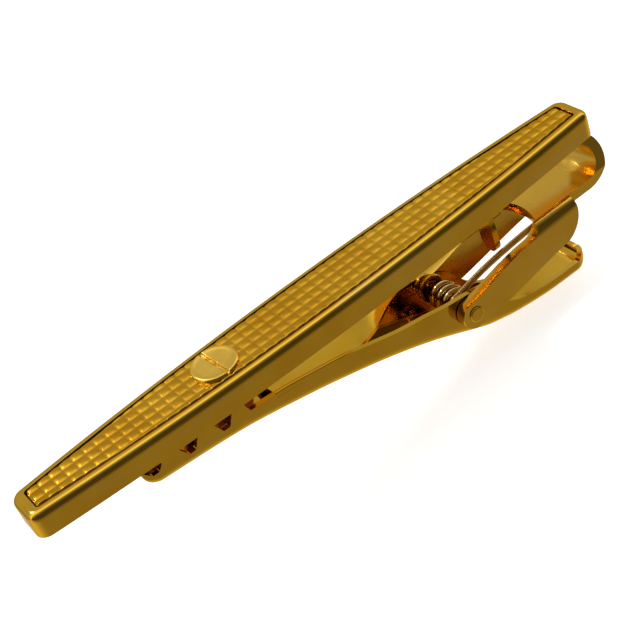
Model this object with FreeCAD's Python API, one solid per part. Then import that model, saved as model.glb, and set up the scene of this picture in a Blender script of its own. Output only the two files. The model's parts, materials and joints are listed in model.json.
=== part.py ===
import FreeCAD, Part
import math
import os

from FreeCAD import Vector

# Spring-loaded tie clip, closed. All sizes are in millimetres.
# Frame: the origin is the middle of the bar's flat back, where the tie is gripped.
# +X runs along the bar towards the bent end, +Y across it, +Z out of the decorated face.

# Decorated bar
BAR_HALF_LENGTH = 30.6
BAR_MID_HALF_WIDTH = 3.55
BAR_END_HALF_WIDTH = 2.1
BAR_HEIGHT = 2.5
BAR_CORNER_RADIUS = 1.15
BAR_EDGE_RADIUS = 0.66
BOW_ARCS = 8
RIM_WIDTH = 0.76
RIM_END_WIDTH = 1.12
RECESS_END_HALF_WIDTH = 1.31
RECESS_DEPTH = 0.75
RECESS_CORNER_RADIUS = 0.3

# Grooved inlay
INLAY_GAP = 0.16
INLAY_TOP = 2.58
FACET_PITCH = 1.106
GROOVE_DEPTH = 0.1
GROOVE_HALF_WIDTH = 0.24
LONG_GROOVES_PER_SIDE = 2

# Slotted ornamental screw
SCREW_X = -10.85
SCREW_HEAD_RADIUS = 2.2
SCREW_HEAD_TOP = 2.85
SCREW_HEAD_CHAMFER = 0.2
SCREW_SHANK_RADIUS = 0.9
SCREW_SHANK_BOTTOM = 0.7
SCREW_SLOT_HALF_WIDTH = 0.2
SCREW_SLOT_DEPTH = 0.32
SCREW_SLOT_TURN = 5.0

# Bracket, bent from one strip
STRIP = 1.05
LEG_TOP = 0.85
LEG_SIDE_INSET = 0.45
BEND_X = 28.1
BEND_OUTER_RADIUS = 2.75
STRIP_HALF_WIDTH = 2.7
STRIP_END_HALF_WIDTH = 1.7
TONGUE_SHEET = 0.6
TONGUE_FACE_X = 17.7
TONGUE_HALF_WIDTH = 1.0
TONGUE_BOTTOM = -5.75
TONGUE_BEND_RADIUS = 1.25
EAR_INNER_HALF_WIDTH = 2.65
EAR_FOLD_RADIUS = 1.1
EAR_END_RADIUS = 1.45
EAR_FRONT_X = 8.0
EAR_BACK_X = 25.6
EAR_BACK_BEND_Z = -4.5
EAR_BACK_ARC_MIDDLE = (25.05, -6.35)
EAR_LOWER_EDGE = ((23.9, -7.3), (21.0, -7.75), (16.3, -8.6))
EAR_LOWER_FRONT = (0.25, -1.435)
EAR_UPPER_FRONT = (-0.6, 1.32)
EAR_UPPER_EDGE = ((14.0, -5.78), (17.0, -5.05), (19.4, -4.75))
EAR_NOTCH_ARC_MIDDLE = (20.75, -4.2)
EAR_NOTCH_END_X = 21.3
EAR_TOP_MARGIN = 0.5
NOTCH_X = 16.0
NOTCH_RADIUS = 6.05
POCKET_CLEARANCE = 0.04

# Hinge
PIN_X = 12.15
PIN_Z = -7.55
PIN_RADIUS = 0.6
PIN_RUNNING_CLEARANCE = 0.05
PIN_HEAD_RADIUS = 0.78
PIN_HEAD_HEIGHT = 0.2

# Jaw lever
JAW_SHEET = 0.55
JAW_FRONT_X = -21.2
JAW_BACK_X = 26.4
JAW_HALF_WIDTH = 2.55
JAW_FRONT_HALF_WIDTH = 2.45
JAW_EDGE_RADIUS = 0.6
TOOTH_GAP_TOP_HALF_WIDTH = 1.2
TOOTH_GAP_BOTTOM_RADIUS = 0.4
TOOTH_GAP_DEPTH = 1.65
TOOTH_GAP_CENTRES = (-20.05, -16.5, -13.0)
JAW_END_WALL_TOP = -10.75
JAW_FRONT_WALL_TOP = -0.5
JAW_TIP_RADIUS = 1.1
WALL_TOP_CHAMFER = 0.11

# Torsion spring
WIRE_RADIUS = 0.3
COIL_RADIUS = 1.15
COIL_HALF_LENGTH = 1.5
COIL_FULL_TURNS = 3
UPPER_LEG_RISE = 7.4
UPPER_LEG_END_X = 23.0
LOWER_LEG_DROP = 16.3
LOWER_LEG_END_X = 19.6
POINTS_PER_TURN = 18

FAR = 60.0

LEG_BOTTOM = LEG_TOP - STRIP
BEND_Z = LEG_TOP - BEND_OUTER_RADIUS
BEND_INNER_RADIUS = BEND_OUTER_RADIUS - STRIP
WEB_TOP = BEND_Z - BEND_INNER_RADIUS
WEB_BOTTOM = WEB_TOP - STRIP
EAR_OUTER_HALF_WIDTH = EAR_INNER_HALF_WIDTH + STRIP


def box(x0, x1, y0, y1, z0, z1):
    return Part.makeBox(x1 - x0, y1 - y0, z1 - z0, Vector(x0, y0, z0))


def cross_cylinder(radius, x, z, y0, y1):
    # A cylinder lying along Y.
    return Part.makeCylinder(radius, y1 - y0, Vector(x, y0, z), Vector(0, 1, 0))


def plan_prism(points, z0, z1):
    corners = [Vector(x, y, z0) for x, y in points]
    face = Part.Face(Part.makePolygon(corners + corners[:1]))
    return face.extrude(Vector(0, 0, z1 - z0))


def side_prism(edges, half_width):
    # The edges form a closed outline in the plane y = -half_width.
    face = Part.Face(Part.Wire(edges))
    return face.extrude(Vector(0, 2 * half_width, 0))


def bow_half_width(mid, end, half_length, x):
    # Half-width of a plan whose two long sides are shallow circular arcs.
    rise = mid - end
    radius = (half_length ** 2 + rise ** 2) / (2 * rise)
    return mid - radius + math.sqrt(radius ** 2 - x ** 2)


def bowed_side(mid, end, half_length, side, z):
    # One long side of a bowed plan, as equal arcs running towards +X.
    edges = []
    stations = [half_length * (2 * i / BOW_ARCS - 1) for i in range(BOW_ARCS + 1)]
    for x0, x1 in zip(stations, stations[1:]):
        corners = []
        for x in (x0, 0.5 * (x0 + x1), x1):
            half = bow_half_width(mid, end, half_length, x)
            corners.append(Vector(x, side * half, z))
        edges.append(Part.Arc(*corners).toShape())
    return edges


def bowed_prism(mid, end, half_length, z0, z1, corner_radius):
    near = bowed_side(mid, end, half_length, -1, z0)
    far = bowed_side(mid, end, half_length, 1, z0)
    left = Part.makeLine(Vector(-half_length, end, z0), Vector(-half_length, -end, z0))
    right = Part.makeLine(Vector(half_length, -end, z0), Vector(half_length, end, z0))
    outline = Part.Wire(Part.__sortEdges__(near + far + [left, right]))
    solid = Part.Face(outline).extrude(Vector(0, 0, z1 - z0))
    corners = []
    for edge in solid.Edges:
        upright = edge.BoundBox.ZLength > 0.9 * (z1 - z0)
        if upright and abs(edge.Vertexes[0].X) > half_length - 0.01:
            corners.append(edge)
    return solid.makeFillet(corner_radius, corners)


def leg_plan(clearance, x0, x1):
    # Plan of the strip's upper leg: it narrows with the bar.
    near = []
    far = []
    steps = 6
    for i in range(steps + 1):
        x = x0 + (x1 - x0) * i / steps
        half = bow_half_width(BAR_MID_HALF_WIDTH, BAR_END_HALF_WIDTH, BAR_HALF_LENGTH, x)
        half = half - LEG_SIDE_INSET + clearance
        near.append((x, -half))
        far.append((x, half))
    return near + far[::-1]


def make_bar():
    bar = bowed_prism(BAR_MID_HALF_WIDTH, BAR_END_HALF_WIDTH, BAR_HALF_LENGTH,
                      0, BAR_HEIGHT, BAR_CORNER_RADIUS)
    top_edges = [e for e in bar.Edges if e.BoundBox.ZMin > BAR_HEIGHT - 0.01]
    bar = bar.makeFillet(BAR_EDGE_RADIUS, top_edges)
    recess = bowed_prism(BAR_MID_HALF_WIDTH - RIM_WIDTH, RECESS_END_HALF_WIDTH,
                         BAR_HALF_LENGTH - RIM_END_WIDTH, BAR_HEIGHT - RECESS_DEPTH,
                         BAR_HEIGHT + 1, RECESS_CORNER_RADIUS)
    bar = bar.cut(recess)
    pocket_x0 = TONGUE_FACE_X - POCKET_CLEARANCE
    pocket = plan_prism(leg_plan(POCKET_CLEARANCE, pocket_x0, BAR_HALF_LENGTH + 0.5), -1, LEG_TOP)
    bar = bar.cut(pocket)
    hole = Part.makeCylinder(SCREW_SHANK_RADIUS, BAR_HEIGHT, Vector(SCREW_X, 0, SCREW_SHANK_BOTTOM))
    return bar.cut(hole)


def groove_profile(centre, place):
    # A shallow V, drawn a little above the face; place puts an (across, height) pair in space.
    above = 0.1 * GROOVE_DEPTH
    half = GROOVE_HALF_WIDTH * (1 + above / GROOVE_DEPTH)
    points = [
        place(centre - half, INLAY_TOP + above),
        place(centre + half, INLAY_TOP + above),
        place(centre, INLAY_TOP - GROOVE_DEPTH),
    ]
    return Part.Face(Part.makePolygon(points + points[:1]))


def make_inlay():
    floor = BAR_HEIGHT - RECESS_DEPTH
    mid = BAR_MID_HALF_WIDTH - RIM_WIDTH - INLAY_GAP
    end = RECESS_END_HALF_WIDTH - INLAY_GAP
    half_length = BAR_HALF_LENGTH - RIM_END_WIDTH - INLAY_GAP
    inlay = bowed_prism(mid, end, half_length, floor, INLAY_TOP, RECESS_CORNER_RADIUS - 0.1)

    crossing = []
    count = int(half_length / FACET_PITCH)
    for i in range(-count, count + 1):
        face = groove_profile(i * FACET_PITCH, lambda x, z: Vector(x, -FAR, z))
        crossing.append(face.extrude(Vector(0, 2 * FAR, 0)))
    inlay = inlay.cut(Part.makeCompound(crossing))

    lengthwise = []
    for i in range(LONG_GROOVES_PER_SIDE):
        for side in (-1, 1):
            face = groove_profile(side * (i + 0.5) * FACET_PITCH, lambda y, z: Vector(-FAR, y, z))
            lengthwise.append(face.extrude(Vector(2 * FAR, 0, 0)))
    inlay = inlay.cut(Part.makeCompound(lengthwise))
    hole = Part.makeCylinder(SCREW_SHANK_RADIUS, 2 * BAR_HEIGHT, Vector(SCREW_X, 0, 0))
    return inlay.cut(hole)


def make_screw():
    head = Part.makeCylinder(SCREW_HEAD_RADIUS, SCREW_HEAD_TOP - INLAY_TOP, Vector(SCREW_X, 0, INLAY_TOP))
    rim = [e for e in head.Edges if e.BoundBox.ZMin > SCREW_HEAD_TOP - 0.01]
    head = head.makeChamfer(SCREW_HEAD_CHAMFER, rim)
    slot = box(SCREW_X - SCREW_SLOT_HALF_WIDTH, SCREW_X + SCREW_SLOT_HALF_WIDTH, -FAR, FAR,
               SCREW_HEAD_TOP - SCREW_SLOT_DEPTH, SCREW_HEAD_TOP + 1)
    slot.rotate(Vector(SCREW_X, 0, 0), Vector(0, 0, 1), SCREW_SLOT_TURN)
    shank = Part.makeCylinder(SCREW_SHANK_RADIUS, INLAY_TOP - SCREW_SHANK_BOTTOM,
                              Vector(SCREW_X, 0, SCREW_SHANK_BOTTOM))
    return head.cut(slot).fuse(shank).removeSplitter()


def ear_outline(y):
    # Side view of one ear and its fold, drawn in the plane at this y.
    def at(x, z):
        return Vector(x, y, z)

    top = WEB_TOP + EAR_TOP_MARGIN
    back_top = at(EAR_BACK_X, top)
    back_bend = at(EAR_BACK_X, EAR_BACK_BEND_Z)
    lower_points = [at(*point) for point in EAR_LOWER_EDGE]
    upper_points = [at(*point) for point in EAR_UPPER_EDGE]
    lower_front = at(PIN_X + EAR_LOWER_FRONT[0], PIN_Z + EAR_LOWER_FRONT[1])
    upper_front = at(PIN_X + EAR_UPPER_FRONT[0], PIN_Z + EAR_UPPER_FRONT[1])
    notch_top = at(EAR_NOTCH_END_X, top)
    lower = Part.BSplineCurve()
    lower.interpolate(lower_points + [lower_front])
    upper = Part.BSplineCurve()
    upper.interpolate([upper_front] + upper_points)
    return [
        Part.makeLine(back_top, back_bend),
        Part.Arc(back_bend, at(*EAR_BACK_ARC_MIDDLE), lower_points[0]).toShape(),
        lower.toShape(),
        Part.Arc(lower_front, at(PIN_X - EAR_END_RADIUS, PIN_Z), upper_front).toShape(),
        upper.toShape(),
        Part.Arc(upper_points[-1], at(*EAR_NOTCH_ARC_MIDDLE), notch_top).toShape(),
        Part.makeLine(notch_top, back_top),
    ]


def make_bracket():
    half = STRIP_HALF_WIDTH
    upper = box(TONGUE_FACE_X + TONGUE_BEND_RADIUS, BEND_X, -half, half, LEG_BOTTOM, LEG_TOP)
    ring = cross_cylinder(BEND_OUTER_RADIUS, BEND_X, BEND_Z, -half, half)
    ring = ring.cut(cross_cylinder(BEND_INNER_RADIUS, BEND_X, BEND_Z, -FAR, FAR))
    ring = ring.common(box(BEND_X, FAR, -FAR, FAR, -FAR, FAR))
    notch = Part.makeCylinder(NOTCH_RADIUS, 2 * STRIP, Vector(NOTCH_X, 0, WEB_BOTTOM - 0.5 * STRIP))
    lower = box(NOTCH_X + 0.5 * NOTCH_RADIUS, BEND_X, -half, half, WEB_BOTTOM, WEB_TOP).cut(notch)
    strip = upper.fuse([ring, lower])

    # The upper leg narrows with the bar, and the bend widens towards the lower leg.
    keep = plan_prism(leg_plan(0, NOTCH_X, BAR_HALF_LENGTH + 0.5), LEG_BOTTOM - 0.2, FAR)
    end_view = [
        Vector(NOTCH_X, -STRIP_END_HALF_WIDTH, LEG_BOTTOM - 0.2),
        Vector(NOTCH_X, STRIP_END_HALF_WIDTH, LEG_BOTTOM - 0.2),
        Vector(NOTCH_X, half, WEB_TOP + 0.2),
        Vector(NOTCH_X, half, -FAR),
        Vector(NOTCH_X, -half, -FAR),
        Vector(NOTCH_X, -half, WEB_TOP + 0.2),
    ]
    face = Part.Face(Part.makePolygon(end_view + end_view[:1]))
    keep = keep.fuse(face.extrude(Vector(FAR, 0, 0)))
    strip = strip.common(keep)

    # The narrow tongue turns down from the end of the upper leg.
    tongue_back = TONGUE_FACE_X + TONGUE_SHEET
    bend = cross_cylinder(TONGUE_BEND_RADIUS, TONGUE_FACE_X + TONGUE_BEND_RADIUS,
                          LEG_TOP - TONGUE_BEND_RADIUS, -TONGUE_HALF_WIDTH, TONGUE_HALF_WIDTH)
    bend = bend.cut(cross_cylinder(TONGUE_BEND_RADIUS - TONGUE_SHEET, TONGUE_FACE_X + TONGUE_BEND_RADIUS,
                                   LEG_TOP - TONGUE_BEND_RADIUS, -FAR, FAR))
    bend = bend.common(box(TONGUE_FACE_X - 1, TONGUE_FACE_X + TONGUE_BEND_RADIUS, -FAR, FAR,
                           LEG_TOP - TONGUE_BEND_RADIUS, FAR))
    tongue = box(TONGUE_FACE_X, tongue_back, -TONGUE_HALF_WIDTH, TONGUE_HALF_WIDTH,
                 TONGUE_BOTTOM + TONGUE_HALF_WIDTH, LEG_TOP - TONGUE_BEND_RADIUS)
    tip = Part.makeCylinder(TONGUE_HALF_WIDTH, TONGUE_SHEET,
                            Vector(TONGUE_FACE_X, 0, TONGUE_BOTTOM + TONGUE_HALF_WIDTH), Vector(1, 0, 0))
    shoulder_x = TONGUE_FACE_X + TONGUE_BEND_RADIUS
    shoulder = box(shoulder_x - 0.01, shoulder_x + TONGUE_SHEET,
                   -TONGUE_HALF_WIDTH, TONGUE_HALF_WIDTH, LEG_TOP - TONGUE_SHEET, LEG_TOP)

    # The ears are folded down from both sides of the lower leg.
    outer = box(EAR_FRONT_X, EAR_BACK_X, -EAR_OUTER_HALF_WIDTH, EAR_OUTER_HALF_WIDTH, -FAR, WEB_TOP)
    folds = [e for e in outer.Edges
             if e.BoundBox.ZMin > WEB_TOP - 0.01 and e.BoundBox.XLength > 1]
    outer = outer.makeFillet(EAR_FOLD_RADIUS, folds)
    inner = box(0, FAR, -EAR_INNER_HALF_WIDTH, EAR_INNER_HALF_WIDTH, -FAR, WEB_BOTTOM)
    channel = outer.cut(inner)
    web_notch = notch.common(box(NOTCH_X, FAR, -half, half, -FAR, FAR))
    ears = channel.common(side_prism(ear_outline(-EAR_OUTER_HALF_WIDTH - 1), EAR_OUTER_HALF_WIDTH + 1))
    ears = ears.cut(web_notch)

    bracket = strip.fuse([ears, tongue, tip, bend, shoulder])
    bracket = bracket.cut(cross_cylinder(PIN_RADIUS, PIN_X, PIN_Z, -FAR, FAR))
    return bracket.removeSplitter()


def make_pin():
    half = EAR_OUTER_HALF_WIDTH
    shank = cross_cylinder(PIN_RADIUS, PIN_X, PIN_Z, -half, half)
    heads = []
    for side in (-1, 1):
        y0 = min(side * half, side * (half + PIN_HEAD_HEIGHT))
        head = cross_cylinder(PIN_HEAD_RADIUS, PIN_X, PIN_Z, y0, y0 + PIN_HEAD_HEIGHT)
        face_y = half + PIN_HEAD_HEIGHT
        rim = [e for e in head.Edges
               if abs(abs(e.BoundBox.Center.y) - face_y) < 0.01 and e.BoundBox.XLength > PIN_RADIUS]
        heads.append(head.makeFillet(PIN_HEAD_HEIGHT * 0.8, rim))
    return shank.fuse(heads).removeSplitter()


# Jaw stations, front to back: x, underside, top of the wall.
JAW_STATIONS = (
    (-21.2, -2.30, -0.04),
    (-17.5, -2.62, -0.04),
    (-13.8, -2.98, -0.04),
    (-11.1, -3.33, -0.04),
    (-10.3, -3.46, -1.70),
    (-8.0, -3.92, -1.92),
    (-6.5, -4.25, -2.10),
    (-3.5, -4.92, -2.62),
    (-0.5, -5.70, -3.20),
    (2.2, -6.45, -3.95),
    (5.0, -7.35, -4.70),
    (8.0, -8.45, -5.25),
    (10.4, -9.50, -5.75),
    (12.6, -10.50, -6.05),
    (13.9, -11.05, -6.75),
    (15.4, -11.45, -8.80),
    (16.6, -11.75, -9.90),
    (18.6, -12.05, -10.70),
    (22.0, -12.32, -11.20),
    (26.4, -12.40, -11.30),
)

# The top of the +Y wall is folded over as a lid that reaches the -Y wall; its back end is
# cut off on the slant. Front to back: x, y of the lid's free edge, and the drop to that edge.
LID_STATIONS = (
    (-8.0, -2.05, 0.10),
    (-6.5, -2.05, 0.10),
    (-3.5, -2.05, 0.10),
    (-0.5, -2.05, 0.25),
    (2.2, -1.50, 0.50),
    (5.0, -0.20, 0.50),
    (8.0, 1.20, 0.35),
    (10.4, 1.95, 0.10),
)


def jaw_half_width(x):
    share = (x - JAW_FRONT_X) / (PIN_X - JAW_FRONT_X)
    return JAW_FRONT_HALF_WIDTH + (JAW_HALF_WIDTH - JAW_FRONT_HALF_WIDTH) * min(1.0, share)


def polygon_at(x, ring):
    points = [Vector(x, y, z) for y, z in ring]
    return Part.makePolygon(points + points[:1])


def jaw_outside(x, under, top):
    # Half of the outside of the channel, from the top of the wall down to the underside.
    w = jaw_half_width(x)
    r = min(JAW_EDGE_RADIUS, 0.4 * (top - under))
    return [
        (w - WALL_TOP_CHAMFER, top),
        (w, top - WALL_TOP_CHAMFER),
        (w, under + r),
        (w - 0.29 * r, under + 0.29 * r),
        (w - r, under),
    ]


def jaw_section(x, under, top):
    # Along the outside from one wall to the other, then back along the inside.
    t = JAW_SHEET
    inner = jaw_half_width(x) - t
    corner = min(0.15, 0.2 * (top - under - t))
    outside = jaw_outside(x, under, top)
    inside = [
        (inner - corner, under + t),
        (inner, under + t + corner),
        (inner, top - WALL_TOP_CHAMFER),
        (inner + WALL_TOP_CHAMFER, top),
    ]
    ring = outside + [(-y, z) for y, z in outside[::-1]]
    ring = ring + [(-y, z) for y, z in inside[::-1]] + inside
    return polygon_at(x, ring)


def lid_section(x, under, top, edge_y, drop):
    t = JAW_SHEET
    w = jaw_half_width(x)
    edge_z = top - 0.08 - drop
    inner_z = top - t - 0.09
    return polygon_at(x, [
        (w - 0.20, top - 0.01),
        (w - 0.45, top - 0.05),
        (edge_y, edge_z),
        (edge_y, edge_z - t),
        (w - t - 0.01, inner_z),
        (w - 0.20, inner_z - 0.11),
    ])


def make_lid():
    walls = {x: (under, top) for x, under, top in JAW_STATIONS}
    sections = [lid_section(x, *walls[x], edge_y, drop) for x, edge_y, drop in LID_STATIONS]
    return Part.makeLoft(sections, True, True)


def jaw_end_plate(station, x0, x1, top):
    # Closes one end of the channel with a flat plate.
    x, under, _ = station
    half = jaw_outside(x, under, top)
    face = Part.Face(polygon_at(x0, half + [(-y, z) for y, z in half[::-1]]))
    return face.extrude(Vector(x1 - x0, 0, 0))


def corner_cutter(x, z, radius, side):
    # Removes the sharp lower corner at one end; side is +1 at the back and -1 at the front.
    x0 = min(x, x + side * FAR)
    block = box(x0, x0 + FAR, -FAR, FAR, z - FAR, z)
    return block.cut(cross_cylinder(radius, x, z, -FAR, FAR))


def tooth_gap(x):
    # A round-bottomed V between two teeth, cut through both walls.
    r = TOOTH_GAP_BOTTOM_RADIUS
    centre_z = -TOOTH_GAP_DEPTH + r
    slope = math.atan2(TOOTH_GAP_TOP_HALF_WIDTH - r, -centre_z)
    dx = r * math.cos(slope)
    dz = -r * math.sin(slope)
    top = TOOTH_GAP_TOP_HALF_WIDTH
    points = [
        Vector(x - top, -FAR, 0.1),
        Vector(x + top, -FAR, 0.1),
        Vector(x + dx, -FAR, centre_z + dz),
        Vector(x - dx, -FAR, centre_z + dz),
    ]
    wedge = Part.Face(Part.makePolygon(points + points[:1])).extrude(Vector(0, 2 * FAR, 0))
    return wedge.fuse(cross_cylinder(r, x, centre_z, -FAR, FAR))


def make_jaw():
    jaw = Part.makeLoft([jaw_section(*station) for station in JAW_STATIONS], True, True)
    front = JAW_STATIONS[0]
    back = JAW_STATIONS[-1]
    front_plate = jaw_end_plate(front, JAW_FRONT_X, JAW_FRONT_X + JAW_SHEET, JAW_FRONT_WALL_TOP)
    back_plate = jaw_end_plate(back, JAW_BACK_X - JAW_SHEET, JAW_BACK_X, JAW_END_WALL_TOP)
    jaw = jaw.fuse([make_lid(), front_plate, back_plate])
    jaw = jaw.cut([tooth_gap(x) for x in TOOTH_GAP_CENTRES])
    tip = JAW_TIP_RADIUS
    jaw = jaw.cut(corner_cutter(JAW_FRONT_X + tip, front[1] + tip, tip, -1))
    jaw = jaw.cut(corner_cutter(JAW_BACK_X - tip, back[1] + tip, tip, 1))
    bore = PIN_RADIUS + PIN_RUNNING_CLEARANCE
    jaw = jaw.cut(cross_cylinder(bore, PIN_X, PIN_Z, -FAR, FAR))
    return jaw.removeSplitter()


def make_spring():
    def on_coil(turn, y):
        angle = math.radians(turn)
        return Vector(PIN_X + COIL_RADIUS * math.cos(angle), y, PIN_Z + COIL_RADIUS * math.sin(angle))

    start = 90.0 + UPPER_LEG_RISE
    stop = 270.0 - LOWER_LEG_DROP + 360.0 * COIL_FULL_TURNS
    points = []
    first = on_coil(start, -COIL_HALF_LENGTH)
    last = on_coil(stop, COIL_HALF_LENGTH)
    leg_steps = 5
    for i in range(leg_steps):
        run = (UPPER_LEG_END_X - first.x) * (1 - i / leg_steps)
        points.append(first + Vector(run, 0, run * math.tan(math.radians(UPPER_LEG_RISE))))
    coil_steps = int((stop - start) / 360.0 * POINTS_PER_TURN)
    for i in range(coil_steps + 1):
        share = i / coil_steps
        y = -COIL_HALF_LENGTH + 2 * COIL_HALF_LENGTH * share
        points.append(on_coil(start + (stop - start) * share, y))
    for i in range(1, leg_steps + 1):
        run = (LOWER_LEG_END_X - last.x) * i / leg_steps
        points.append(last + Vector(run, 0, -run * math.tan(math.radians(LOWER_LEG_DROP))))
    path = Part.BSplineCurve()
    path.interpolate(points)
    wire = Part.Wire([path.toShape()])
    direction = (points[1] - points[0]).normalize()
    profile = Part.Wire([Part.makeCircle(WIRE_RADIUS, points[0], direction)])
    return wire.makePipeShell([profile], True, False)


os.makedirs("parts", exist_ok=True)

nodes = {
    "bar_body": make_bar(),
    "textured_inlay": make_inlay(),
    "slotted_screw": make_screw(),
    "spring_bracket": make_bracket(),
    "hinge_pin": make_pin(),
    "jaw_lever": make_jaw(),
    "torsion_spring": make_spring(),
}

for name, shape in nodes.items():
    solids = shape.Solids
    print(name, "solids", len(solids), "valid", shape.isValid(), "volume", round(shape.Volume, 3))
    shape.exportStep("parts/" + name + ".step")
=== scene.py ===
import json
import math

import bpy
from mathutils import Matrix, Vector


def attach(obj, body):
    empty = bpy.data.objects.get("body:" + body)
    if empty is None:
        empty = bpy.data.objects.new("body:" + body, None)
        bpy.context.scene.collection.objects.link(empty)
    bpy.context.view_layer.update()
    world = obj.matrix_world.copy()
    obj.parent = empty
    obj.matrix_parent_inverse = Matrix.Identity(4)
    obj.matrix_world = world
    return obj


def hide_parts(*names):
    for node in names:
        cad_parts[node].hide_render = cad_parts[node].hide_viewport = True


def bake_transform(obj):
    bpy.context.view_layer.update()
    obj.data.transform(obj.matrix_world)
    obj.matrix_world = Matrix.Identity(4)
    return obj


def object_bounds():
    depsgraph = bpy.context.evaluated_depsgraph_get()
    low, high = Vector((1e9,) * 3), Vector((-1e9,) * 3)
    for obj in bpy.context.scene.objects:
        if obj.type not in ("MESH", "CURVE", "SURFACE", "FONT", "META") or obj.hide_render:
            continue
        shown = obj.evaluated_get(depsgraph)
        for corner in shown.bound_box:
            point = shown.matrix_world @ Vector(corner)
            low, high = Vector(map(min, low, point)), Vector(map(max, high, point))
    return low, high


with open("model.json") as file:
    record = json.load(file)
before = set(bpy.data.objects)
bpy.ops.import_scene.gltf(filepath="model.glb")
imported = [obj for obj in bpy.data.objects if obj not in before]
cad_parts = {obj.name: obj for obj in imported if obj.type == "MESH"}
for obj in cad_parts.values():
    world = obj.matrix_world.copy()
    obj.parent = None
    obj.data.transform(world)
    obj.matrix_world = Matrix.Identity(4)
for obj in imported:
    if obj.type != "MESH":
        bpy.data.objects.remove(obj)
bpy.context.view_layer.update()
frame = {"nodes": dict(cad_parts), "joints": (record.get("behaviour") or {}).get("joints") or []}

# A spring-loaded tie clip: a gold bar with a pillowed inlay and a slotted stud, and under it a bent
# strip that holds a folded jaw on a sprung pin. Shapes are in millimetres, in the frame's own axes:
# +X runs to the bent end, +Y to the far side, +Z out of the decorated face.
MM = 0.001

HINGE = frame["joints"][0]
PIN_X = HINGE["pos_m"][0] / MM
PIN_Z = HINGE["pos_m"][2] / MM

# The camera: its direction in degrees, the point that it looks at, and its lens in millimetres.
VIEW_AZIMUTH = 21.85
VIEW_ELEVATION = 37.77
VIEW_ROLL = 22.58
VIEW_DISTANCE = 128.85 * MM
VIEW_TARGET = Vector((-0.613, 0.0, -0.313)) * MM
SENSOR_WIDTH = 36.0
LENS = 84.06
NEAREST_SEEN = 5 * MM


# ---------------------------------------------------------------- materials

EDGE_TINT = (0.95, 0.79, 0.42, 1)
SMEAR_COLOR = (0.60, 0.47, 0.26, 1)
# Painted shade: the brown that the colour darkens to in crevices, and how far the occlusion looks.
CREVICE_SHADE_DEEP = (0.34, 0.28, 0.24, 1)
CREVICE_REACH = 0.9 * MM
CREVICE_SAMPLES = 8
MARK_DEPTH = 0.02 * MM

# How fine each pattern is: Blender's noise scale over metres.
DRIFT_SCALE = 230
SMEAR_SCALE = 420
HAZE_SCALE = 900
MARK_SCALE = 2600

# How a pattern is drawn out along the bar.
ROUND_SPOTS = (1, 1, 1)
LONG_MARKS = (0.15, 1, 1)
LONG_SMEARS = (0.12, 1, 1.4)


def new_material(name):
    material = bpy.data.materials.new(name)
    material.use_nodes = True
    nodes = material.node_tree.nodes
    nodes.clear()
    output = nodes.new("ShaderNodeOutputMaterial")
    shader = nodes.new("ShaderNodeBsdfPrincipled")
    material.node_tree.links.new(shader.outputs["BSDF"], output.inputs["Surface"])
    return material, nodes, material.node_tree.links, shader


def noise(nodes, links, scale, detail, roughness=0.5, stretch=ROUND_SPOTS):
    coords = nodes.new("ShaderNodeTexCoord")
    mapping = nodes.new("ShaderNodeMapping")
    mapping.inputs["Scale"].default_value = stretch
    texture = nodes.new("ShaderNodeTexNoise")
    texture.inputs["Scale"].default_value = scale
    texture.inputs["Detail"].default_value = detail
    texture.inputs["Roughness"].default_value = roughness
    links.new(coords.outputs["Object"], mapping.inputs["Vector"])
    links.new(mapping.outputs["Vector"], texture.inputs["Vector"])
    return texture.outputs["Fac"]


def ramp(nodes, links, source, stops):
    node = nodes.new("ShaderNodeValToRGB")
    elements = node.color_ramp.elements
    while len(elements) < len(stops):
        elements.new(0.5)
    for element, (position, color) in zip(elements, stops):
        element.position = position
        element.color = color
    links.new(source, node.inputs["Fac"])
    return node.outputs["Color"]


def grey(value):
    return (value, value, value, 1.0)


def gold(name, light, dark, rough_low, rough_high, bump, stretch=ROUND_SPOTS, streak=0.0):
    """Plated gold: colour drift, painted brown shade in the crevices, handling haze and polishing marks.
    """
    material, nodes, links, shader = new_material(name)
    shader.inputs["Metallic"].default_value = 1.0
    shader.inputs["Specular Tint"].default_value = EDGE_TINT
    drift = noise(nodes, links, DRIFT_SCALE, 3)
    color = ramp(nodes, links, drift, [(0.3, dark + (1,)), (0.7, light + (1,))])
    if streak:
        smear = noise(nodes, links, SMEAR_SCALE, 5, 0.6, LONG_SMEARS)
        amount = ramp(nodes, links, smear, [(0.52, grey(0)), (0.72, grey(streak))])
        color = blend_color(nodes, links, "MIX", amount, color, SMEAR_COLOR)
    # Painted shade: ambient occlusion darkens the colour to brown in crevices, gaps and inside the jaw.
    open_air = nodes.new("ShaderNodeAmbientOcclusion")
    open_air.samples = CREVICE_SAMPLES
    open_air.inputs["Distance"].default_value = CREVICE_REACH
    painted_crevice_shade = ramp(nodes, links, open_air.outputs["AO"], [(0.12, CREVICE_SHADE_DEEP), (0.48, grey(1))])
    color = blend_color(nodes, links, "MULTIPLY", None, color, painted_crevice_shade)
    links.new(color, shader.inputs["Base Color"])
    haze = noise(nodes, links, HAZE_SCALE, 6, 0.6)
    roughness = ramp(nodes, links, haze, [(0.35, grey(rough_low)), (0.75, grey(rough_high))])
    links.new(roughness, shader.inputs["Roughness"])
    marks = noise(nodes, links, MARK_SCALE, 4, 0.6, stretch)
    bump_node = nodes.new("ShaderNodeBump")
    bump_node.inputs["Strength"].default_value = bump
    bump_node.inputs["Distance"].default_value = MARK_DEPTH
    links.new(marks, bump_node.inputs["Height"])
    links.new(bump_node.outputs["Normal"], shader.inputs["Normal"])
    return material


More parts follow.
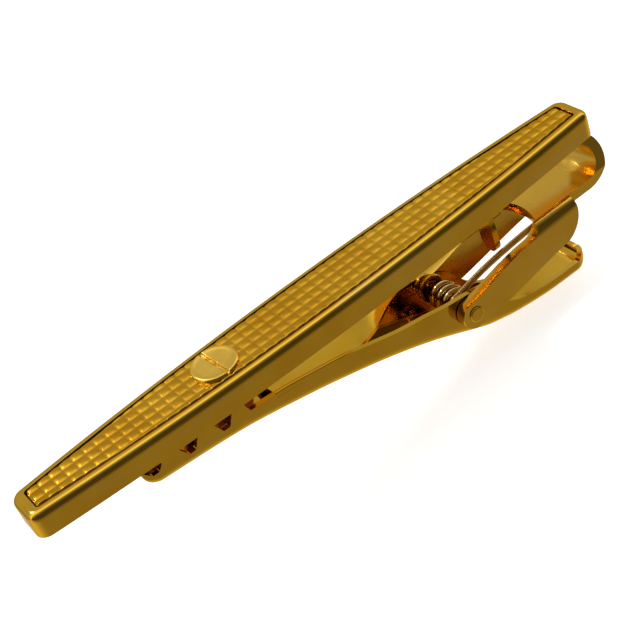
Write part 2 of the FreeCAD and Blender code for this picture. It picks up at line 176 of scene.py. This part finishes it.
def blend_color(nodes, links, mode, factor, base, top):
    """Lays one colour over another; each is a socket or a plain colour. Without a factor, all of it."""
    node = nodes.new("ShaderNodeMix")
    node.data_type = "RGBA"
    node.blend_type = mode
    if factor is None:
        node.inputs["Factor"].default_value = 1.0
    else:
        links.new(factor, node.inputs["Factor"])
    for socket, value in (("A", base), ("B", top)):
        color_input = [i for i in node.inputs if i.name == socket and i.type == "RGBA"][0]
        if isinstance(value, tuple):
            color_input.default_value = value
        else:
            links.new(value, color_input)
    return [o for o in node.outputs if o.type == "RGBA"][0]


polished = gold("polished_gold_plate", light=(0.82, 0.495, 0.05), dark=(0.74, 0.42, 0.035),
                rough_low=0.07, rough_high=0.18, bump=0.12, stretch=LONG_MARKS, streak=0.35)
inlay_gold = gold("satin_gold_inlay", light=(0.76, 0.42, 0.035), dark=(0.63, 0.31, 0.018),
                  rough_low=0.17, rough_high=0.30, bump=0.35)
stud_gold = gold("pale_gold_stud", light=(0.98, 0.64, 0.11), dark=(0.90, 0.55, 0.08),
                 rough_low=0.20, rough_high=0.32, bump=0.25)
strip_gold = gold("bent_strip_gold", light=(0.85, 0.52, 0.07), dark=(0.77, 0.45, 0.05),
                  rough_low=0.15, rough_high=0.27, bump=0.12, stretch=LONG_MARKS, streak=0.35)
wire_gold = gold("plated_spring_steel", light=(0.90, 0.70, 0.34), dark=(0.74, 0.54, 0.22),
                 rough_low=0.12, rough_high=0.24, bump=0.15)

NODE_MATERIALS = {
    "bar_body": polished,
    "textured_inlay": inlay_gold,
    "slotted_screw": stud_gold,
    "spring_bracket": strip_gold,
    "hinge_pin": polished,
    "jaw_lever": polished,
    "torsion_spring": wire_gold,
}

for node, material in NODE_MATERIALS.items():
    mesh = frame["nodes"][node].data
    mesh.materials.clear()
    mesh.materials.append(material)


# ---------------------------------------------------------------- softened edges

SHARP_ANGLE = 50.0
FACET_JOIN = 0.0005 * MM
STRIP_EDGE = 0.10 * MM
SHEET_EDGE = 0.07 * MM


def round_edges(piece, width, segments):
    """Rounds the sharp edges, as tumbling and plating do."""
    bevel = piece.modifiers.new("edge", "BEVEL")
    bevel.width = width
    bevel.segments = segments
    bevel.limit_method = "ANGLE"
    bevel.angle_limit = math.radians(SHARP_ANGLE)
    bevel.harden_normals = True


def soften_bracket():
    """Joins the CAD facets of the bent strip, then rounds its edges."""
    bracket = frame["nodes"]["spring_bracket"]
    weld = bracket.modifiers.new("join", "WELD")
    weld.merge_threshold = FACET_JOIN
    round_edges(bracket, STRIP_EDGE, 3)


soften_bracket()


# ---------------------------------------------------------------- mesh helpers

def add_piece(name, verts, faces, material, body, replaced):
    """A smooth mesh piece, with its points in millimetres."""
    mesh = bpy.data.meshes.new(name)
    mesh.from_pydata([Vector(v) * MM for v in verts], [], faces)
    mesh.materials.append(material)
    for polygon in mesh.polygons:
        polygon.use_smooth = True
    mesh.validate()
    piece = bpy.data.objects.new(name, mesh)
    bpy.context.scene.collection.objects.link(piece)
    if body:
        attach(piece, body)
    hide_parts(replaced)
    return piece


def grid_faces(rows, columns):
    """The quads of a grid whose points are listed row by row."""
    faces = []
    for i in range(rows - 1):
        for j in range(columns - 1):
            a = i * columns + j
            faces.append((a, a + columns, a + columns + 1, a + 1))
    return faces


def drawn_in(radius, distance):
    """How far a rounded corner has drawn in, at a distance past the start of its arc."""
    return radius - math.sqrt(max(0.0, radius ** 2 - distance ** 2))


def smooth_through(stations, x, column):
    """A monotone cubic through one column of a table whose first column is x."""
    if x <= stations[0][0]:
        return stations[0][column]
    if x >= stations[-1][0]:
        return stations[-1][column]
    i = 0
    while stations[i + 1][0] < x:
        i += 1

    def slope(k):
        return (stations[k + 1][column] - stations[k][column]) / (stations[k + 1][0] - stations[k][0])

    def tangent(k):
        if k == 0:
            return slope(0)
        if k == len(stations) - 1:
            return slope(k - 1)
        before, after = slope(k - 1), slope(k)
        if before * after <= 0:
            return 0.0
        return 2 * before * after / (before + after)

    x0, x1 = stations[i][0], stations[i + 1][0]
    y0, y1 = stations[i][column], stations[i + 1][column]
    span = x1 - x0
    t = (x - x0) / span
    return ((2 * t ** 3 - 3 * t ** 2 + 1) * y0 + (t ** 3 - 2 * t ** 2 + t) * span * tangent(i)
            + (3 * t ** 2 - 2 * t ** 3) * y1 + (t ** 3 - t ** 2) * span * tangent(i + 1))


# ---------------------------------------------------------------- pillowed inlay

INLAY_MID_HALF_WIDTH = 2.63
INLAY_END_HALF_WIDTH = 1.15
INLAY_HALF_LENGTH = 29.32
INLAY_TOP = 2.58
INLAY_BOTTOM = 2.00
INLAY_CORNER = 0.25
PILLOW_PITCH = 1.106
PILLOW_DROP = 0.09
PILLOW_POWER = 2.6
INLAY_EDGE_WIDTH = 0.10
INLAY_EDGE_DROP = 0.20
INLAY_STEP = 0.11
INLAY_COLUMNS = 48


def inlay_half_width(x):
    """The bowed side of the inlay, with rounded corners at both ends."""
    rise = INLAY_MID_HALF_WIDTH - INLAY_END_HALF_WIDTH
    radius = (INLAY_HALF_LENGTH ** 2 + rise ** 2) / (2 * rise)
    half = INLAY_MID_HALF_WIDTH - radius + math.sqrt(radius ** 2 - x ** 2)
    into_corner = abs(x) - (INLAY_HALF_LENGTH - INLAY_CORNER)
    if into_corner > 0:
        half -= drawn_in(INLAY_CORNER, into_corner)
    return half


def pillow(distance):
    """1 on top of a pillow and 0 in the valley around it."""
    offset = abs(((distance / PILLOW_PITCH + 0.5) % 1.0) - 0.5) * 2
    return 1 - offset ** PILLOW_POWER


def inlay_height(x, y, edge):
    """The pillowed face, chamfered where it is near the edge."""
    height = INLAY_TOP - PILLOW_DROP * (1 - pillow(x) * pillow(y))
    if edge < INLAY_EDGE_WIDTH:
        height -= INLAY_EDGE_DROP * (1 - edge / INLAY_EDGE_WIDTH)
    return height


def inlay_column(half, j, across):
    """Even columns across the face, with one extra column down each chamfered edge."""
    if j == 0:
        return -half
    if j == across:
        return half
    return (half - INLAY_EDGE_WIDTH) * (2 * (j - 1) / (across - 2) - 1)


def make_inlay():
    """A closed plate: a grid over the face, two straight sides, two ends and a flat bottom."""
    lengthwise = int(2 * INLAY_HALF_LENGTH / INLAY_STEP)
    across = INLAY_COLUMNS
    verts = []
    for i in range(lengthwise + 1):
        x = -INLAY_HALF_LENGTH + 2 * INLAY_HALF_LENGTH * i / lengthwise
        half = inlay_half_width(x)
        verts.append((x, -half, INLAY_BOTTOM))
        for j in range(across + 1):
            y = inlay_column(half, j, across)
            edge = min(half - abs(y), INLAY_HALF_LENGTH - abs(x))
            verts.append((x, y, inlay_height(x, y, edge)))
        verts.append((x, half, INLAY_BOTTOM))
    columns = across + 3
    faces = grid_faces(lengthwise + 1, columns)
    faces.append(tuple(range(columns - 1, -1, -1)))
    faces.append(tuple(lengthwise * columns + j for j in range(columns)))
    for i in range(lengthwise):
        faces.append((i * columns, i * columns + columns - 1, (i + 2) * columns - 1, (i + 1) * columns))
    outward = [face[::-1] for face in faces]
    add_piece("pillowed_inlay", verts, outward, inlay_gold,
              "bar_and_bracket", "textured_inlay")


make_inlay()


# ---------------------------------------------------------------- slotted stud

STUD_X = -10.85
STUD_RADIUS = 2.2
STUD_SEAT = 2.40
STUD_SLOT_TURN = 5.0
STUD_SLOT_HALF_WIDTH = 0.15
STUD_SLOT_DEPTH = 0.22
STUD_SLOT_POWER = 6
STUD_RINGS = 60
STUD_SECTORS = 256

# Radius and height of the head's face, from the middle to the seat.
STUD_PROFILE = (
    (0.0, 2.775),
    (1.0, 2.780),
    (1.6, 2.80),
    (1.88, 2.84),
    (2.0, 2.845),
    (2.1, 2.80),
    (2.17, 2.70),
    (2.2, 2.58),
)


def make_stud():
    """A turned head with a raised rim, a shallow dish and one saw-cut slot."""
    turn = math.radians(STUD_SLOT_TURN)
    verts = [(STUD_X, 0.0, STUD_PROFILE[0][1] - STUD_SLOT_DEPTH)]
    for i in range(1, STUD_RINGS + 1):
        radius = STUD_RADIUS * i / STUD_RINGS
        height = smooth_through(STUD_PROFILE, radius, 1)
        for n in range(STUD_SECTORS):
            angle = 2 * math.pi * n / STUD_SECTORS
            x = radius * math.cos(angle)
            y = radius * math.sin(angle)
            from_slot = abs(x * math.cos(turn) + y * math.sin(turn)) / STUD_SLOT_HALF_WIDTH
            cut = STUD_SLOT_DEPTH * math.exp(-from_slot ** STUD_SLOT_POWER)
            verts.append((STUD_X + x, y, height - cut))
    for n in range(STUD_SECTORS):
        x, y, _ = verts[1 + (STUD_RINGS - 1) * STUD_SECTORS + n]
        verts.append((x, y, STUD_SEAT))
    faces = []
    for n in range(STUD_SECTORS):
        faces.append((0, 1 + n, 1 + (n + 1) % STUD_SECTORS))
    for i in range(STUD_RINGS):
        for n in range(STUD_SECTORS):
            a = 1 + i * STUD_SECTORS + n
            b = 1 + i * STUD_SECTORS + (n + 1) % STUD_SECTORS
            faces.append((a, a + STUD_SECTORS, b + STUD_SECTORS, b))
    last = 1 + STUD_RINGS * STUD_SECTORS
    faces.append(tuple(range(last + STUD_SECTORS - 1, last - 1, -1)))
    add_piece("slotted_stud_head", verts, faces, stud_gold,
              "bar_and_bracket", "slotted_screw")


make_stud()


# ---------------------------------------------------------------- folded jaw lever

JAW_SHEET = 0.50
JAW_FRONT = -21.2
JAW_BACK = 26.4
JAW_NOSE_RADIUS = 1.5
JAW_NOSE_LIFT = 1.25
JAW_NOSE_TOP = -0.5
JAW_TRAY_RADIUS = 1.6
JAW_TRAY_TOP = -10.85
JAW_TRAY_NARROWING = 0.9
JAW_TRAY_RIM_LENGTH = 1.2
JAW_HALF_WIDTH = 2.55
JAW_FRONT_HALF_WIDTH = 2.45
JAW_WIDENING_LENGTH = 30.0
JAW_EDGE_RADIUS = 0.65
JAW_LEAST_EDGE_RADIUS = 0.02
JAW_FOLD_RADIUS = 0.32

# The teeth: where the bite ends, the height of the crests, and the gaps between them.
BITE_END = -11.15
BITE_SLOPE_END = -10.45
TOOTH_CREST = -0.05
TOOTH_GAPS = (-20.05, -16.5, -13.0)
TOOTH_GAP_DEPTHS = (1.1, 1.55, 1.75)
TOOTH_GAP_HALF_WIDTH = 1.32
TOOTH_GAP_FLAT = 1.35
TOOTH_GAP_CURVE = 1.2
TOOTH_EDGE_SHARE = 0.3
WALL_EDGE_SHARE = 0.45

# The +Y wall by the lid: a raised stretch before it, lower along its front, higher along its back.
LID_START = -7.9
LID_END = 10.4
FAR_TOOTH_RISE = 1.35
FAR_TOOTH_START = -11.65
FAR_DROP = 0.8
FAR_DROP_START = -8.9
FAR_DROP_EASE = 1.0
FAR_DROP_FADE = -1.0
FAR_DROP_FADE_LENGTH = 6.0
FAR_CROWN = 0.8
FAR_CROWN_START = 3.5
FAR_CROWN_EASE = 3.0
FAR_CROWN_FADE = 11.2
FAR_CROWN_FADE_LENGTH = 1.5

# How many points each stretch of a section has, and how sharply the lid's edge curls.
CORNER_STEPS = 6
WALL_STEPS = 6
LID_STEPS = 8
CURL_STEPS = 6
CURL_POWER = 1.5
CURL_LEAST = 0.01

# The spacing of the jaw's sections, which are closer near both ends and at the lid's front.
JAW_STEP = 0.16
JAW_END_STEP_SHARE = 0.08
JAW_STEP_GROWTH = 0.6
LID_FRONT_REACH = 0.3
LID_FRONT_STEP = 0.05

# Front to back: x, the underside, the top of the -Y wall.
JAW_STATIONS = (
    (-21.2, -2.30, -1.00),
    (-17.5, -2.62, -1.20),
    (-13.8, -2.98, -1.45),
    (-11.1, -3.33, -1.65),
    (-8.0, -3.92, -1.92),
    (-6.5, -4.25, -2.10),
    (-3.5, -4.92, -2.62),
    (-0.5, -5.70, -3.20),
    (2.2, -6.45, -3.95),
    (5.0, -7.35, -4.70),
    (8.0, -8.45, -5.25),
    (10.4, -9.50, -5.75),
    (12.6, -10.50, -6.05),
    (13.9, -11.05, -6.75),
    (15.4, -11.45, -8.80),
    (16.6, -11.75, -9.90),
    (18.6, -12.05, -10.70),
    (22.0, -12.32, -11.20),
    (26.4, -12.40, -11.30),
)

# The lid folded over from the +Y wall: x, y of its free edge, y where it starts to curl down, the drop.
LID_STATIONS = (
    (-7.9, -2.42, -2.30, 0.0),
    (-6.5, -2.42, -2.30, 0.0),
    (-3.5, -2.42, -2.30, 0.0),
    (-0.8, -2.42, -2.30, 0.0),
    (0.6, -2.15, -1.40, 0.06),
    (1.8, -1.50, -0.60, 0.12),
    (3.6, -0.45, 0.80, 0.15),
    (5.4, 0.55, 1.90, 0.15),
    (7.6, 1.60, 2.10, 0.12),
    (9.0, 2.00, 2.15, 0.08),
    (10.4, 2.15, 2.18, 0.04),
)


def jaw_floor(x):
    """The underside, turned up at the nose and at the end of the tray."""
    floor = smooth_through(JAW_STATIONS, x, 1)
    into_nose = JAW_FRONT + JAW_NOSE_RADIUS - x
    if into_nose > 0:
        floor = min(JAW_NOSE_TOP, floor + drawn_in(JAW_NOSE_RADIUS, into_nose) * JAW_NOSE_LIFT)
    into_tray = x - (JAW_BACK - JAW_TRAY_RADIUS)
    if into_tray > 0:
        floor = min(JAW_TRAY_TOP, floor + drawn_in(JAW_TRAY_RADIUS, into_tray))
    return floor


def jaw_half_width(x):
    """The jaw widens slightly to the back, and the tray's end is rounded."""
    share = min(1.0, (x - JAW_FRONT) / JAW_WIDENING_LENGTH)
    half = JAW_FRONT_HALF_WIDTH + (JAW_HALF_WIDTH - JAW_FRONT_HALF_WIDTH) * share
    into_tray = x - (JAW_BACK - JAW_TRAY_RADIUS)
    if into_tray > 0:
        half -= JAW_TRAY_NARROWING * drawn_in(JAW_TRAY_RADIUS, into_tray)
    return half


def smooth_step(value):
    """0 below 0, 1 above 1, and a smooth rise between them."""
    value = min(1.0, max(0.0, value))
    return value * value * (3 - 2 * value)


def far_wall_drop(x):
    """The +Y wall is lower where the lid is folded over from it, so the lid slopes."""
    begun = smooth_step((x - FAR_DROP_START) / FAR_DROP_EASE)
    ended = smooth_step((x - FAR_DROP_FADE) / FAR_DROP_FADE_LENGTH)
    return FAR_DROP * begun * (1 - ended)


def far_wall_crown(x):
    """Towards the back of the lid the +Y wall stands a little higher than the -Y one."""
    begun = smooth_step((x - FAR_CROWN_START) / FAR_CROWN_EASE)
    ended = smooth_step((x - FAR_CROWN_FADE) / FAR_CROWN_FADE_LENGTH)
    return FAR_CROWN * begun * (1 - ended)


def tooth_line(x):
    """The toothed edge: level crests with a rounded gap between them."""
    height = TOOTH_CREST
    for centre, depth in zip(TOOTH_GAPS, TOOTH_GAP_DEPTHS):
        near = 1 - abs(x - centre) / TOOTH_GAP_HALF_WIDTH
        if near > 0:
            height -= depth * min(1.0, TOOTH_GAP_FLAT * near) ** TOOTH_GAP_CURVE
    return height


def jaw_wall_top(x, far):
    """The top of the -Y wall, or of the far one at +Y: teeth, then the channel, then the tray's rim."""
    top = smooth_through(JAW_STATIONS, x, 2)
    if far and FAR_TOOTH_START < x < LID_START:
        return top + FAR_TOOTH_RISE
    if far:
        top += far_wall_crown(x) - far_wall_drop(x)
    if x < BITE_SLOPE_END:
        bite = smooth_step((BITE_SLOPE_END - x) / (BITE_SLOPE_END - BITE_END))
        top = top + (tooth_line(x) - top) * bite
    tray = smooth_step((x - (JAW_BACK - JAW_TRAY_RADIUS)) / JAW_TRAY_RIM_LENGTH)
    return top + (JAW_TRAY_TOP - top) * tray


def arc_points(centre, radius, start, stop, count):
    """Points along an arc, from one angle to another in degrees."""
    points = []
    for k in range(count + 1):
        angle = math.radians(start + (stop - start) * k / count)
        points.append((centre[0] + radius * math.cos(angle), centre[1] + radius * math.sin(angle)))
    return points


def jaw_half_section(x, far):
    """From the middle of the floor round the corner and up one wall."""
    half = jaw_half_width(x)
    floor = jaw_floor(x)
    top = jaw_wall_top(x, far)
    if x < BITE_SLOPE_END:
        room = TOOTH_EDGE_SHARE * (TOOTH_CREST - floor)
    else:
        room = WALL_EDGE_SHARE * (jaw_wall_top(x, False) - floor)
    radius = min(JAW_EDGE_RADIUS, max(JAW_LEAST_EDGE_RADIUS, room))
    points = [(half * share, floor) for share in (0.0, 0.25, 0.5)]
    points += arc_points((half - radius, floor + radius), radius, -90, 0, CORNER_STEPS)
    low = floor + radius
    high = top - JAW_FOLD_RADIUS if far and LID_START <= x <= LID_END else top
    points += [(half, low + (high - low) * k / WALL_STEPS) for k in range(1, WALL_STEPS + 1)]
    return points


def lid_section(x):
    """Round the fold at the top of the +Y wall, across the channel, and down the curled edge."""
    top = jaw_wall_top(x, True)
    start = jaw_half_width(x) - JAW_FOLD_RADIUS
    edge = smooth_through(LID_STATIONS, x, 1)
    curl = min(smooth_through(LID_STATIONS, x, 2), start - CURL_LEAST)
    drop = smooth_through(LID_STATIONS, x, 3)
    slope = (far_wall_drop(x) - far_wall_crown(x)) / (2 * start)
    points = arc_points((start, top - JAW_FOLD_RADIUS), JAW_FOLD_RADIUS, 0, 90, CORNER_STEPS)[1:]
    for k in range(1, LID_STEPS + 1):
        y = start + (curl - start) * k / LID_STEPS
        points.append((y, top + slope * (start - y)))
    for k in range(1, CURL_STEPS + 1):
        y = curl + (edge - curl) * k / CURL_STEPS
        points.append((y, top + slope * (start - y) - drop * (k / CURL_STEPS) ** CURL_POWER))
    return points


def jaw_xs():
    """Where the jaw's cross sections are."""
    xs = []
    x = JAW_FRONT
    while x < JAW_BACK:
        xs.append(x)
        near_end = min(x - JAW_FRONT, JAW_BACK - x)
        step = JAW_STEP * min(1.0, JAW_END_STEP_SHARE + JAW_STEP_GROWTH * near_end)
        if abs(x - LID_START) < LID_FRONT_REACH:
            step = LID_FRONT_STEP
        x += step
    xs.append(JAW_BACK)
    return xs


def make_jaw():
    """One surface, from the -Y wall under the floor to the +Y wall and over the lid, made into sheet."""
    verts = []
    xs = jaw_xs()
    for x in xs:
        near = jaw_half_section(x, False)
        far = jaw_half_section(x, True)
        ring = [(-y, z) for y, z in near[:0:-1]] + far
        verts += [(x, y, z) for y, z in ring]
    columns = len(ring)
    faces = [face[::-1] for face in grid_faces(len(xs), columns)]
    previous = None
    for i, x in enumerate(xs):
        if not LID_START <= x <= LID_END:
            continue
        first = len(verts)
        verts += [(x, y, z) for y, z in lid_section(x)]
        line = [i * columns + columns - 1] + list(range(first, len(verts)))
        if previous:
            for k in range(len(line) - 1):
                faces.append((previous[k], previous[k + 1], line[k + 1], line[k]))
        previous = line
    piece = add_piece("folded_jaw_lever", verts, faces, polished,
                      "jaw", "jaw_lever")
    sheet = piece.modifiers.new("sheet", "SOLIDIFY")
    sheet.thickness = JAW_SHEET * MM
    sheet.offset = -1.0
    sheet.use_even_offset = False
    round_edges(piece, SHEET_EDGE, 2)


make_jaw()


# ---------------------------------------------------------------- torsion spring

WIRE_RADIUS = 0.3
COIL_RADIUS = 1.15
COIL_HALF_LENGTH = 1.5
COIL_START = 97.4
COIL_STOP = 1333.7
TURN_STEP = 12

# Each leg's points as x and z: the upper one runs to the coil and the lower one from it.
UPPER_LEG = ((23.0, -5.12), (20.4, -5.22), (18.4, -5.37), (16.4, -5.56), (14.6, -5.85))
LOWER_LEG = ((14.6, -9.55), (17.2, -10.30), (19.6, -10.95))
LEG_STEPS = 8
WIRE_SIDES = 14


def spline_through(points, steps):
    """A Catmull-Rom curve through the points, as closely spaced points."""
    padded = [points[0] * 2 - points[1]] + points + [points[-1] * 2 - points[-2]]
    line = []
    for k in range(1, len(padded) - 2):
        p0, p1, p2, p3 = padded[k - 1:k + 3]
        for n in range(steps):
            t = n / steps
            line.append(0.5 * (2 * p1 + (p2 - p0) * t + (2 * p0 - 5 * p1 + 4 * p2 - p3) * t * t
                               + (3 * p1 - p0 - 3 * p2 + p3) * t ** 3))
    line.append(points[-1])
    return line


def wire_path():
    """The middle of the wire: the upper leg, the coil along the pin, the lower leg."""
    coil = []
    turns = int((COIL_STOP - COIL_START) / TURN_STEP)
    for k in range(turns + 1):
        share = k / turns
        angle = math.radians(COIL_START + (COIL_STOP - COIL_START) * share)
        x = PIN_X + COIL_RADIUS * math.cos(angle)
        y = COIL_HALF_LENGTH * (2 * share - 1)
        z = PIN_Z + COIL_RADIUS * math.sin(angle)
        coil.append(Vector((x, y, z)))
    upper = [Vector((x, -COIL_HALF_LENGTH, z)) for x, z in UPPER_LEG]
    lower = [Vector((x, COIL_HALF_LENGTH, z)) for x, z in LOWER_LEG]
    upper_line = spline_through(upper + [coil[0]], LEG_STEPS)[:-1]
    lower_line = spline_through([coil[-1]] + lower, LEG_STEPS)[1:]
    return upper_line + coil + lower_line


def make_spring():
    """A round tube along the wire's path, with closed ends; it is attached to neither body."""
    path = wire_path()
    verts = []
    across = Vector((0, 1, 0))
    for k, point in enumerate(path):
        ahead = path[min(k + 1, len(path) - 1)]
        behind = path[max(k - 1, 0)]
        along = (ahead - behind).normalized()
        across = (across - along * across.dot(along)).normalized()
        other = along.cross(across)
        for n in range(WIRE_SIDES):
            angle = 2 * math.pi * n / WIRE_SIDES
            offset = math.cos(angle) * across + math.sin(angle) * other
            verts.append(point + offset * WIRE_RADIUS)
    faces = []
    for k in range(len(path) - 1):
        for n in range(WIRE_SIDES):
            a = k * WIRE_SIDES + n
            b = k * WIRE_SIDES + (n + 1) % WIRE_SIDES
            faces.append((a, b, b + WIRE_SIDES, a + WIRE_SIDES))
    faces.append(tuple(range(WIRE_SIDES - 1, -1, -1)))
    last = (len(path) - 1) * WIRE_SIDES
    faces.append(tuple(last + n for n in range(WIRE_SIDES)))
    piece = add_piece("coiled_torsion_spring", verts, faces, wire_gold, None,
                      "torsion_spring")
    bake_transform(piece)


make_spring()


# ---------------------------------------------------------------- floor, light, camera

# The floor and the lamp, in metres and watts.
FLOOR_GAP = 0.1 * MM
FLOOR_HALF_SIZE = 3.0
FLOOR_COLOR = (0.80, 0.80, 0.80, 1)
FLOOR_GLOW = 0.75
KEY_PLACE = (-0.15, 0.30, 0.42)
KEY_SIZE = 0.10
KEY_POWER = 0.5


def lowest_when_open():
    """The height of the jaw's lowest point at the end of its swing."""
    swing = math.radians(HINGE["range_deg"][1])
    heights = []
    for vertex in frame["nodes"]["jaw_lever"].data.vertices:
        ahead = (vertex.co.x - PIN_X * MM) * math.sin(swing)
        above = (vertex.co.z - PIN_Z * MM) * math.cos(swing)
        heights.append(PIN_Z * MM + ahead + above)
    return min(heights)


def make_floor():
    """A pale floor that the camera sees; the metal reflects the light tent and not the floor."""
    material, _, _, shader = new_material("floor")
    shader.inputs["Base Color"].default_value = FLOOR_COLOR
    shader.inputs["Roughness"].default_value = 0.9
    shader.inputs["Emission Color"].default_value = (1, 1, 1, 1)
    shader.inputs["Emission Strength"].default_value = FLOOR_GLOW
    mesh = bpy.data.meshes.new("floor")
    level = min(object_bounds()[0][2], lowest_when_open()) - FLOOR_GAP
    size = FLOOR_HALF_SIZE
    corners = [(-size, -size, level), (size, -size, level), (size, size, level), (-size, size, level)]
    mesh.from_pydata(corners, [], [(0, 1, 2, 3)])
    mesh.materials.append(material)
    floor = bpy.data.objects.new("floor", mesh)
    floor.visible_glossy = False
    bpy.context.scene.collection.objects.link(floor)


def make_key_light():
    """A small square lamp above and behind the bar, aimed at the origin."""
    data = bpy.data.lights.new("key", "AREA")
    data.shape = "RECTANGLE"
    data.size = KEY_SIZE
    data.size_y = KEY_SIZE
    data.energy = KEY_POWER
    light = bpy.data.objects.new("key", data)
    light.location = KEY_PLACE
    light.rotation_euler = (-Vector(KEY_PLACE)).to_track_quat("-Z", "Y").to_euler()
    bpy.context.scene.collection.objects.link(light)


def make_camera():
    """The camera looks along its azimuth and down by its elevation, and is rolled about that line."""
    azimuth = math.radians(VIEW_AZIMUTH)
    elevation = math.radians(VIEW_ELEVATION)
    roll = math.radians(VIEW_ROLL)
    forward = Vector((math.sin(azimuth) * math.cos(elevation), math.cos(azimuth) * math.cos(elevation),
                      -math.sin(elevation)))
    level = Vector((math.cos(azimuth), -math.sin(azimuth), 0))
    above = level.cross(forward)
    right = math.cos(roll) * level - math.sin(roll) * above
    up = math.sin(roll) * level + math.cos(roll) * above
    data = bpy.data.cameras.new("camera")
    data.sensor_width = SENSOR_WIDTH
    data.lens = LENS
    data.clip_start = NEAREST_SEEN
    camera = bpy.data.objects.new("camera", data)
    basis = Matrix((right, up, -forward)).transposed()
    camera.matrix_world = Matrix.Translation(VIEW_TARGET - forward * VIEW_DISTANCE) @ basis.to_4x4()
    bpy.context.scene.collection.objects.link(camera)
    bpy.context.scene.camera = camera


# The light tent around the object, as an angle about the bar's long axis in degrees
# (0 is behind, 90 overhead, 180 in front, 270 straight down) and its brightness there.
TENT = (
    (0, 0.46),
    (16, 0.54),
    (30, 0.46),
    (42, 0.52),
    (58, 0.85),
    (72, 1.30),
    (86, 1.15),
    (100, 0.28),
    (130, 0.06),
    (178, 0.08),
    (198, 0.22),
    (222, 0.31),
    (250, 0.60),
    (285, 0.80),
    (325, 0.62),
    (345, 0.30),
    (360, 0.46),
)
TENT_PEAK = 3.0
TENT_NEUTRAL = (1.0, 0.98, 0.95, 1)
TENT_WARM = (1.0, 0.86, 0.55, 1)

# The tent's tint, by the share of the full turn in TENT: warm low in front of the bar.
TENT_TINTS = (
    (0.0, TENT_NEUTRAL),
    (0.35, TENT_NEUTRAL),
    (0.55, TENT_WARM),
    (0.68, TENT_WARM),
    (0.85, TENT_NEUTRAL),
)


def make_tent():
    """World light: panels that run along the bar, brighter overhead and dark in front."""
    world = bpy.data.worlds.new("light_tent")
    world.use_nodes = True
    nodes = world.node_tree.nodes
    links = world.node_tree.links
    background = nodes["Background"]
    coords = nodes.new("ShaderNodeTexCoord")
    split = nodes.new("ShaderNodeSeparateXYZ")
    angle = nodes.new("ShaderNodeMath")
    angle.operation = "ARCTAN2"
    turn = nodes.new("ShaderNodeMath")
    turn.operation = "MULTIPLY"
    turn.inputs[1].default_value = 1 / (2 * math.pi)
    wrap = nodes.new("ShaderNodeMath")
    wrap.operation = "FRACT"
    tent = nodes.new("ShaderNodeFloatCurve")
    curve = tent.mapping.curves[0]
    points = [(degrees / 360, brightness / TENT_PEAK) for degrees, brightness in TENT]
    curve.points[0].location = points[0]
    curve.points[1].location = points[-1]
    for point in points[1:-1]:
        curve.points.new(*point)
    for point in curve.points:
        point.handle_type = "VECTOR"
    tent.mapping.update()
    links.new(coords.outputs["Generated"], split.inputs["Vector"])
    links.new(split.outputs["Z"], angle.inputs[0])
    links.new(split.outputs["Y"], angle.inputs[1])
    links.new(angle.outputs["Value"], turn.inputs[0])
    links.new(turn.outputs["Value"], wrap.inputs[0])
    links.new(wrap.outputs["Value"], tent.inputs["Value"])
    scale = nodes.new("ShaderNodeMath")
    scale.operation = "MULTIPLY"
    scale.inputs[1].default_value = TENT_PEAK
    links.new(tent.outputs["Value"], scale.inputs[0])
    links.new(scale.outputs["Value"], background.inputs["Strength"])
    links.new(ramp(nodes, links, wrap.outputs["Value"], TENT_TINTS), background.inputs["Color"])
    bpy.context.scene.world = world


make_floor()
make_tent()
make_key_light()
make_camera()

bpy.context.scene.view_settings.view_transform = "Standard"
